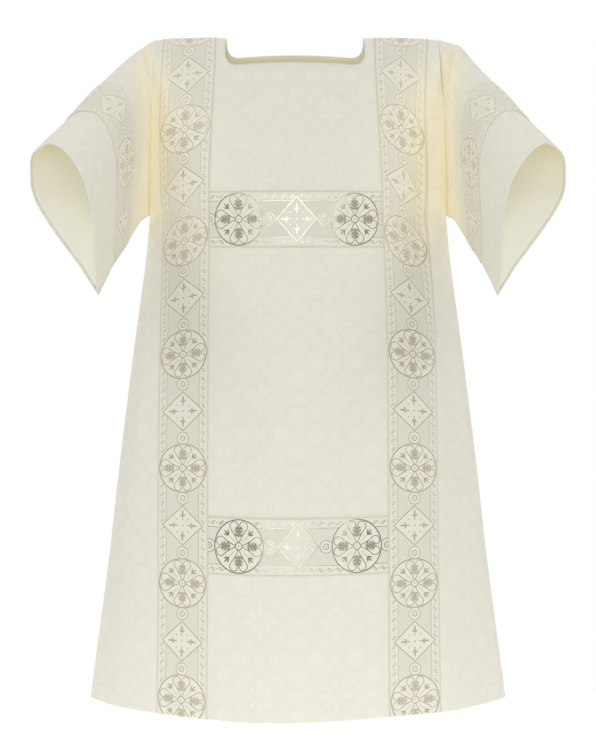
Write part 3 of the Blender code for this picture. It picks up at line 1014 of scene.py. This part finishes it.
def circle_figure(p, q):
    """Four palmettes, four sprigs and a ring inside a circle, folded to an eighth of it."""
    along, aside = turned(p - 6.5, q - 1.2, 31.6)
    bend = along * (27.0 - along) * 0.0065
    flank = stroke(along, aside + bend, 27.0, 1.8)
    centre_p, centre_q = p - 34.6, q - 8.0
    swing = worked("ARCTAN2", centre_q, centre_p) * -1.0 + 2.18
    curl = worked("WRAP", swing, 2 * math.pi, 0.0) / (2 * math.pi)
    radius = worked("MULTIPLY_ADD", curl * curl, -7.6, 8.7)
    scroll = most(abs(span(centre_p, centre_q) - radius) - 0.9, (curl - 0.83) * 30.0)
    stem, beside = turned(p, q, 45)
    sprig = blade(stem - 26.0, beside, 13.5, 3.2)
    leaflet = blade(*turned(stem - 26.0, beside, -32), 11.5, 3.0)
    stalk = stroke(stem - 12.0, beside, 15.0, 1.0)
    ring = abs(span(p, q) - 6.3) - 1.0
    lines = least(flank, scroll, stalk, ring, span(p, q) - 1.3, sprig, leaflet)
    leaves = [blade(*turned(p - start, q, angle), length, 4.1)
              for start, angle, length in ((17.0, 62, 9.5), (21.5, 50, 11.0), (26.5, 40, 9.0))]
    return lines, least(blade(p - 14.5, q, 21.5, 4.4), *leaves)


def diamond_figure(p, q):
    """Four small fleurs about a dot inside a diamond, folded to an eighth of it."""
    side_p, side_q = turned(p - 15.0, q, 45)
    return least(
        blade(p - 9.0, q, 6.5, 2.6),
        blade(p - 14.5, q, 15.0, 3.8),
        blade(side_p, side_q, 8.5, 2.6),
        stroke(p - 13.0, q, 3.0, 1.3),
        span(p, q) - 1.7,
        span(p - 11.5, q - 11.5) - 1.4,
    )


def make_galloon_figure():
    """The galloon's figure: circles and diamonds in turn, between borders of small leaves."""
    tree, entry, across, along = cloth_group(
        "galloon figure", [], ["Thread", "Leaf", "Selvedge", "Field"])
    signed = repeated(along, REPEAT)
    x, y = abs(across), abs(signed)
    to_diamond = REPEAT / 2 - y

    round_x, round_y = x * (CIRCLE / CIRCLE_ACROSS), y * (CIRCLE / CIRCLE_ALONG)
    circle = span(round_x, round_y) - CIRCLE
    diamond = (x / DIAMOND_ACROSS + to_diamond / DIAMOND_ALONG - 1.0) * 26.8
    outline = least(abs(circle) - 1.2, abs(diamond) - 0.95)
    outside = most(circle * -1.0, diamond * -1.0)

    palmettes, leaves = circle_figure(most(round_x, round_y), least(round_x, round_y))
    fleurs = diamond_figure(most(x, to_diamond), least(x, to_diamond))
    palmettes = most(palmettes, circle)
    fleurs = most(fleurs, diamond)

    eye = span(x, y - EYE_PLACE)
    drop = most(abs(eye - EYE) - 0.8, outside)
    eyelet = least(abs(eye - 4.8) - 0.9, eye - 1.3)

    pitch = REPEAT / 13
    border = x - (BORDER[0] + BORDER[1]) / 2
    leaf_along, leaf_aside = turned(border, repeated(along, pitch), 48)
    leaf = abs(blade(leaf_along + 4.8, leaf_aside, 9.6, 3.4)) - 0.65
    dot = span(border, repeated(along + pitch / 2, pitch)) - 1.2
    trim = most(least(leaf, dot, abs(x - BORDER[0]) - 0.6), outside)

    thread = least(outline, palmettes, fleurs, drop, eyelet, trim)
    plain = most(x - BORDER[0], outside, (eye - EYE) * -1.0)
    selvedge = abs(x - SELVEDGE) - 1.5
    return finish_group(
        tree,
        Thread=drawn(thread, 0.3),
        Leaf=drawn(most(leaves, circle), 0.35),
        Selvedge=drawn(selvedge, 0.25),
        Field=drawn(plain, 0.5),
    )


def make_galloon(name, thread_colour, leaf_colour, metal):
    material, tree, shader, place = finish_of_cloth(name, 0.5, 0.10)
    figure = placed(tree, galloon_figure, place).outputs
    weave = placed(tree, weave_group, place, Pitch=0.8, Slub=0.03)
    ground = tinted(tree, figure["Field"], GALLOON_GROUND, GALLOON_FIELD)
    ground = tinted(tree, figure["Selvedge"], ground, GALLOON_SELVEDGE)
    ground = shaded(tree, ground, weave.outputs["Shade"])
    colour = tinted(tree, figure["Thread"], ground, thread_colour)
    colour = tinted(tree, figure["Leaf"], colour, leaf_colour)
    thread = most(Strand(tree, figure["Thread"]), Strand(tree, figure["Leaf"]) * 0.7)
    # Painted glow in the emission, dimmed over the threads; the base colour gets the warm painted
    # shade.
    light = shaded(tree, with_painted_glow(tree, shader, colour), thread * -0.9 + 1.0)
    # Where the painted glow lies the foil is made less metallic, so it reads paler.
    bright = worked("MULTIPLY_ADD", Strand(tree, painted_light_and_shade_of(tree)), FOIL_PALED, metal)
    threads = Strand(tree, weave.outputs["Height"]) * (thread * -0.85 + 1.0)
    raised(tree, shader, threads + thread * 1.2, 0.0001)
    for label, value in (("Emission Color", light), ("Metallic", thread * bright),
                         ("Roughness", worked("MULTIPLY_ADD", thread, -0.30, 0.56))):
        feed(tree, shader.inputs[label], value)
    return material


GALLOON_GROUND = (0.812, 0.797, 0.706)
GALLOON_FIELD = (0.745, 0.725, 0.640)
GALLOON_LEAF = (0.640, 0.585, 0.440)
GALLOON_SELVEDGE = (0.690, 0.655, 0.530)
GALLOON_THREAD = (0.750, 0.692, 0.520)
THREAD_METAL = 0.40      # metal foil over a silk core
FOIL_PALED = -0.45
# Laid across, the foil lies the other way to the light: it is more metallic, and its
# threads are painted lighter and its leaves painted darker.
PAINTED_LIT_THREAD_ACROSS = (0.840, 0.790, 0.630)
PAINTED_SHADED_LEAF_ACROSS = (0.500, 0.450, 0.315)
METAL_ACROSS = 0.85
galloon_figure = make_galloon_figure()
galloon = make_galloon("galloon", GALLOON_THREAD, GALLOON_LEAF, THREAD_METAL)
galloon_across = make_galloon("galloon across with painted light", PAINTED_LIT_THREAD_ACROSS, PAINTED_SHADED_LEAF_ACROSS, METAL_ACROSS)


def edge_columns(width, step=STEP):
    """Distances across a strip of cloth, close together beside both of its edges."""
    inner = np.linspace(FRINGE[2], width - FRINGE[2], max(2, round(width / step)))
    near = np.array([0.0, FRINGE[0], FRINGE[1]])
    return np.concatenate([near, inner, width - near[::-1]])


def from_edges(distances):
    return np.minimum(distances - distances[0], distances[-1] - distances)


def thinned(down, across):
    """The galloon's wall over a strip, less at its turned edges, from distances both ways."""
    thin = edge_rounding(down, GALLOON)[:, None] + edge_rounding(across, GALLOON)[None]
    return (GALLOON - np.minimum(thin, 0.7 * GALLOON))[..., None]


def padded(width_part, along):
    """The slight puff of a band between its two rows of stitches."""
    swell = np.maximum(1 - np.abs(width_part) ** 4, 0)
    return PUFF * swell * (1 + 0.35 * np.sin(along * 61) * np.sin(along * 23 + 1))


def band_sheet(side):
    """Points, normals and places of a long band, from the front hem to the back hem."""
    columns = edge_columns(BAND)
    points, middles, glow = [], [], []
    for face in ("front", "back"):
        drops = row_drops(face, [0, UNDERARM, HEM], near_start=())
        inner = np.array([blended(BAND_PLACES, drop).inner_edge for drop in drops])[:, None]
        across = side * (inner + columns[None])
        rows, _ = body_shape(face, drops, across)
        # Painted glow and warm shade beside the armholes, carried on into the band.
        light = painted_armhole_glow(face, drops, across)
        if face == "front":
            rows[0, :, 1] = 0
            points, middles, glow = rows[::-1], drops[::-1], light[::-1]
        else:
            points = np.concatenate([points, rows[1:]])
            shoulder = len(middles) - 1
            middles = np.concatenate([middles, drops[1:]])
            glow = np.concatenate([glow, light[1:]])
    outwards = [[0, way, 0.2] for way in np.sign(np.arange(len(points)) - shoulder)]
    normals = grid_normals(points, np.array(outwards)[:, None])
    steps = np.linalg.norm(np.diff(points, axis=0), axis=2)
    walked = np.concatenate([np.zeros((1, len(columns))), np.cumsum(steps, axis=0)])
    walked = walked[shoulder] - walked
    # The cloth is drawn down towards the armholes, and the figure slants with it.
    middle = walked[:, len(columns) // 2][:, None]
    slant = np.interp(middles, *zip(*BAND_SLANT[side]))[:, None]
    slant = np.tan(np.radians(slant)) * np.sign(middle)
    walked = middle - slant * (columns - BAND / 2)[None]
    u = np.repeat((side * (columns - BAND / 2))[None], len(points), axis=0)
    uv = np.stack([u, walked], axis=2)
    points = points + normals * (GAP + padded(u / (BAND / 2), walked))[..., None]
    return points, normals, uv, columns, glow


for label, side in sides:
    points, normals, uv, columns, glow = band_sheet(side)
    rows_in = np.minimum(np.abs(uv[:, 0, 1] - uv[0, 0, 1]), np.abs(uv[:, 0, 1] - uv[-1, 0, 1]))
    wall = thinned(rows_in, from_edges(columns))
    piece = make_shell("galloon_" + label, points + normals * wall, points, uv, glow=glow)
    show(piece, "band_" + label, "galloon", galloon,
         flat=(BAND, 2.60), held="stretched", rests_on=["damask_front", "damask_back"])

# -----------------------------------------------------------------------------------------
# CROSSBANDS
# Four short lengths of the same galloon between the long bands, across the chest and the
# skirt in front and behind. Their ends are turned in beside the long bands.
# -----------------------------------------------------------------------------------------
CROSSBANDS = {"chest": (0.295, 0.400), "skirt": (0.887, 0.992)}
CROSS_REPEAT = 214.0


def crossband_sheet(face, top, bottom):
    """Distances down a crossband, its points, normals, places and places of its ends."""
    down = edge_columns(bottom - top)
    inner = np.array([blended(BAND_PLACES, top + d).inner_edge for d in down])[:, None] - GAP
    part = edge_columns(2 * inner.mean()) / inner.mean() - 1
    across = inner * part[None]
    points, normals = body_shape(face, top + down, across)
    u = spread((bottom - top) / 2 - down, across)
    v = across * REPEAT / CROSS_REPEAT + REPEAT / 2000
    points = points + normals * (GAP + padded(u / (BAND / 2), across))[..., None]
    return down, points, normals, np.stack([u, v], axis=2), across


for face in ("front", "back"):
    for label, (top, bottom) in CROSSBANDS.items():
        down, points, normals, uv, across = crossband_sheet(face, top, bottom)
        wall = thinned(from_edges(down), from_edges(across[0]))
        # Painted glow and warm shade beside the armholes, carried on into the crossband.
        piece = make_shell("galloon_%s_%s" % (label, face), points + normals * wall,
                           points, uv, glow=painted_armhole_glow(face, top + down, across))
        node = "crossband_%s_%s" % (face, {"chest": "upper", "skirt": "lower"}[label])
        # The crossbands take the galloon copy with painted lighter threads and darker leaves.
        show(piece, node, "galloon", galloon_across,
             flat=(BAND, 0.345), held="stretched", rests_on=["damask_" + face])

# -----------------------------------------------------------------------------------------
# SLEEVE BANDS
# A ring of the same galloon round each sleeve, midway between the shoulder and the cuff,
# stitched down along both selvedges and joined under the arm.
# -----------------------------------------------------------------------------------------
SLEEVE_BAND = (0.165, 0.269)
SLEEVE_SLANT = 0.34         # how far the figures lean along the band, for each metre across
SLEEVE_FIGURE = 0.1555      # where a circle's centre lies, round from the top of the sleeve


def sleeve_band_sheet(side):
    """Places along a sleeve under its band, and the band's points, normals and places."""
    places = SLEEVE_BAND[0] + edge_columns(BAND)
    points, normals, uv = sleeve_sheet(side, places)
    middle = (SLEEVE_BAND[0] + SLEEVE_BAND[1]) / 2
    across = uv[..., 1] + middle
    uv = np.stack([across, uv[..., 0] - SLEEVE_FIGURE - SLEEVE_SLANT * across], axis=2)
    puff = padded(uv[:, :-1, 0] / (BAND / 2), uv[:, :-1, 1])
    return places, points + normals * (GAP + puff)[..., None], normals, uv


for label, side in sides:
    places, points, normals, uv = sleeve_band_sheet(side)
    thin = edge_rounding(from_edges(places), GALLOON)[:, None, None]
    # Painted glow and warm shade beside the armhole, carried on into the sleeve band.
    piece = make_shell("galloon_sleeve_" + label, points + normals * (GALLOON - thin), points,
                       uv, closed=True, glow=painted_sleeve_glow(places))
    show(piece, "sleeve_band_" + label, "galloon", galloon,
         flat=(BAND, 0.56), held="stretched", rests_on=["damask_sleeve_" + label])

# -----------------------------------------------------------------------------------------
# STITCHING
# Rows of small machine stitches in silk: down both selvedges of every galloon, and round
# the neck a little outside its edge, where they hold the facing.
# -----------------------------------------------------------------------------------------
STITCH_PITCH = 0.0042
STITCH_LENGTH = 0.0031
STITCH_THICKNESS = 0.00055
STITCH_INSET = 0.0028
SILK = (0.730, 0.700, 0.600)


def make_stitch_tree():
    """Stitches laid end to end along the edges of a line mesh, each square to its cloth."""
    tree = bpy.data.node_groups.new("stitch row", "GeometryNodeTree")
    group_sockets(tree, "INPUT", "Geometry", ["Geometry"])
    group_sockets(tree, "INPUT", "Float", ["Pitch", "Length", "Thickness"])
    group_sockets(tree, "INPUT", "Material", ["Thread"])
    group_sockets(tree, "OUTPUT", "Geometry", ["Geometry"])
    entry = tree.nodes.new("NodeGroupInput").outputs
    line = new_node(tree, "GeometryNodeMeshToCurve", {"Mesh": entry["Geometry"]})
    spaced = new_node(tree, "GeometryNodeResampleCurve",
                      {"Curve": line.outputs["Curve"], "Length": entry["Pitch"]}, mode="LENGTH")
    stitch = new_node(tree, "GeometryNodeMeshUVSphere", {"Segments": 6, "Rings": 4, "Radius": 0.5})
    size = new_node(tree, "ShaderNodeCombineXYZ", {
        "X": entry["Length"], "Y": entry["Thickness"], "Z": entry["Thickness"]})
    outward = new_node(tree, "GeometryNodeInputNamedAttribute", {"Name": "outward"},
                       data_type="FLOAT_VECTOR")
    run = tree.nodes.new("GeometryNodeInputTangent")
    upright = new_node(tree, "FunctionNodeAlignRotationToVector",
                       {"Vector": outward.outputs["Attribute"]}, axis="Z")
    lengthwise = new_node(tree, "FunctionNodeAlignRotationToVector", {
        "Rotation": upright.outputs["Rotation"], "Vector": run.outputs["Tangent"],
    }, axis="X", pivot_axis="Z")
    laid = new_node(tree, "GeometryNodeInstanceOnPoints", {
        "Points": spaced.outputs["Curve"], "Instance": stitch.outputs["Mesh"],
        "Rotation": lengthwise.outputs["Rotation"], "Scale": size.outputs["Vector"],
    })
    real = new_node(tree, "GeometryNodeRealizeInstances", {"Geometry": laid.outputs["Instances"]})
    coloured = new_node(tree, "GeometryNodeSetMaterial", {
        "Geometry": real.outputs["Geometry"], "Material": entry["Thread"]})
    return finish_group(tree, Geometry=coloured.outputs["Geometry"])


def sew(name, rows):
    """Lays stitches along rows of (points, outward directions) as one piece."""
    line = bpy.data.meshes.new(name)
    points = np.concatenate([row[0] for row in rows])
    edges, first = [], 0
    for row, _ in rows:
        edges += [(first + k, first + k + 1) for k in range(len(row) - 1)]
        first += len(row)
    line.from_pydata(points.tolist(), edges, [])
    outward = line.attributes.new("outward", "FLOAT_VECTOR", "POINT")
    outward.data.foreach_set("vector", np.concatenate([row[1] for row in rows]).ravel())
    guide = add_object(name + "_line", line)
    rule = guide.modifiers.new("stitches", "NODES")
    rule.node_group = stitch_tree
    values = {"Pitch": STITCH_PITCH, "Length": STITCH_LENGTH,
              "Thickness": STITCH_THICKNESS, "Thread": silk}
    for item in stitch_tree.interface.items_tree:
        if item.name in values:
            rule[item.identifier] = values[item.name]
    ready = guide.evaluated_get(bpy.context.evaluated_depsgraph_get())
    mesh = bpy.data.meshes.new_from_object(ready)
    mesh.name = name
    mesh.polygons.foreach_set("use_smooth", [True] * len(mesh.polygons))
    guide.modifiers.remove(rule)
    bpy.data.objects.remove(guide)
    piece = add_object(name, mesh)
    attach(piece, "root")


def line_across(points, normals, distances, distance, height):
    """The line down a strip at a distance across it, and its outward directions."""
    share = np.interp(distance, distances, np.arange(len(distances)))
    k = min(int(share), len(distances) - 2)
    part = share - k
    found = [grid[:, k] * (1 - part) + grid[:, k + 1] * part for grid in (points, normals)]
    return found[0] + found[1] * height, found[1]


def neck_line(face):
    """The stitched line round half of the neck, from one shoulder to the other."""
    points, normals, _, keep, _ = panel_sheet(face)
    row = int(np.argmax(keep.all(axis=1))) + 1
    middle = points.shape[1] // 2
    left, right = middle - NECK_CELLS - 1, middle + NECK_CELLS + 1
    route = [(r, left) for r in range(row)] + [(row, c) for c in range(left + 1, right)]
    route += [(r, right) for r in range(row - 1, -1, -1)]
    rows, columns = zip(*route)
    found, outward = points[rows, columns], normals[rows, columns]
    return found + outward * STITCH_THICKNESS * 0.2, outward


silk = new_material("silk thread", {"Base Color": SILK, "Roughness": 0.45})
stitch_tree = make_stitch_tree()
ABOVE = GALLOON + STITCH_THICKNESS * 0.15

for label, side in sides:
    points, normals, uv, columns, _ = band_sheet(side)
    rows = [line_across(points, normals, columns, inset, ABOVE)
            for inset in (STITCH_INSET, BAND - STITCH_INSET)]
    sew("stitches_galloon_" + label, rows)

for face in ("front", "back"):
    rows = []
    for top, bottom in CROSSBANDS.values():
        down, points, normals, _, _ = crossband_sheet(face, top, bottom)
        for inset in (STITCH_INSET, bottom - top - STITCH_INSET):
            rows.append(line_across(points.transpose(1, 0, 2), normals.transpose(1, 0, 2),
                                    down, inset, ABOVE))
    sew("stitches_crossbands_" + face, rows)

for label, side in sides:
    places, points, normals, _ = sleeve_band_sheet(side)
    rows = []
    for inset in (STITCH_INSET, BAND - STITCH_INSET):
        line, outward = line_across(points.transpose(1, 0, 2), normals.transpose(1, 0, 2),
                                    places - places[0], inset, ABOVE)
        rows.append((np.append(line, line[:1], axis=0), np.append(outward, outward[:1], axis=0)))
    sew("stitches_sleeve_band_" + label, rows)

sew("stitches_neck", [neck_line("front"), neck_line("back")])

# -----------------------------------------------------------------------------------------
# STUDIO
# A plain white room: a pale round floor below the hem and two soft lights straight ahead.
# Cooler lights stand high at both sides, weak ones low beside the sleeves, one behind.
# -----------------------------------------------------------------------------------------
FLOOR_HEIGHT = -1.55
FLOOR_RADIUS = 1.4
PAPER = (0.78, 0.78, 0.78)
CAMERA_PLACE = (0.0, -3.0, -0.45)
ROOM_LEVEL = 0.03
ROOM_OVERHEAD = 0.55
ROOM_BESIDE = 0.79
ROOM_WARMTH = (1.0, 0.985, 0.955)
COOL_LIGHT = (0.93, 0.965, 1.0)


def soft_light(name, place, towards, size, power, colour=(1.0, 1.0, 1.0), mirrored=True):
    light = bpy.data.lights.new(name, "AREA")
    light.shape = "RECTANGLE"
    light.size, light.size_y = size
    light.energy = power
    light.color = colour
    lamp = add_object(name, light)
    lamp.location = place
    direction = Vector(towards) - Vector(place)
    lamp.rotation_euler = direction.to_track_quat("-Z", "Y").to_euler()
    lamp.visible_camera = False
    lamp.visible_glossy = mirrored


def white_room():
    """White to the eye. As light it is dim in front, brighter above, below and behind."""
    world = bpy.data.worlds.new("white room")
    world.use_nodes = True
    tree = world.node_tree
    heading = tree.nodes.new("ShaderNodeTexCoord")
    parts = new_node(tree, "ShaderNodeSeparateXYZ", {0: heading.outputs["Generated"]})
    height, behind = Strand(tree, parts.outputs["Z"]), Strand(tree, parts.outputs["Y"])
    beside = most(least((behind + 0.45) / 0.4, 1.0), 0.0)
    strength = worked("MULTIPLY_ADD", abs(height), ROOM_OVERHEAD, ROOM_LEVEL)
    light = tree.nodes["Background"]
    feed(tree, light.inputs["Strength"], most(strength, beside * ROOM_BESIDE))
    feed(tree, light.inputs["Color"], ROOM_WARMTH)
    eye = new_node(tree, "ShaderNodeBackground", {"Color": (1.0, 1.0, 1.0)})
    seen = tree.nodes.new("ShaderNodeLightPath")
    mixed = new_node(tree, "ShaderNodeMixShader", {
        0: seen.outputs["Is Camera Ray"], 1: light.outputs[0], 2: eye.outputs[0]})
    feed(tree, tree.nodes["World Output"].inputs["Surface"], mixed.outputs[0])
    bpy.context.scene.world = world


white_room()
soft_light("front light", (0.0, -3.4, 0.50), (0, 0, -0.3), (1.85, 1.5), 16.5)
soft_light("front low light", (0.0, -3.4, -0.80), (0, 0, -0.8), (1.0, 1.0), 6)
for label, side in sides:
    soft_light("high %s light" % label, (2.1 * side, -1.8, 1.7), (0, 0, -0.4), (1.4, 1.0), 21,
               COOL_LIGHT)
for label, side in sides:
    soft_light("low %s light" % label, (1.25 * side, -2.0, -1.35), (0.38 * side, -0.2, -0.38),
               (0.7, 0.5), 6, mirrored=False)
soft_light("back light", (0.0, 3.2, 1.2), (0, 0, -0.6), (1.8, 1.4), 30)

disc = bmesh.new()
bmesh.ops.create_circle(disc, cap_ends=True, segments=96, radius=FLOOR_RADIUS)
floor_mesh = bpy.data.meshes.new("floor")
disc.to_mesh(floor_mesh)
disc.free()
floor_mesh.transform(Matrix.Translation((0, 0, FLOOR_HEIGHT)))
floor_mesh.materials.append(new_material("paper", {
    "Base Color": PAPER, "Roughness": 0.9,
    "Emission Color": (1.0, 1.0, 1.0), "Emission Strength": 0.50}))
floor = add_object("floor", floor_mesh)

camera_data = bpy.data.cameras.new("camera")
camera_data.lens = 75.99
camera_data.sensor_width = 36.0
camera_data.shift_y = -0.133
camera = add_object("camera", camera_data)
camera.location = CAMERA_PLACE
camera.rotation_euler = (math.pi / 2, 0, 0)
bpy.context.scene.camera = camera
bpy.context.scene.view_settings.view_transform = "Standard"
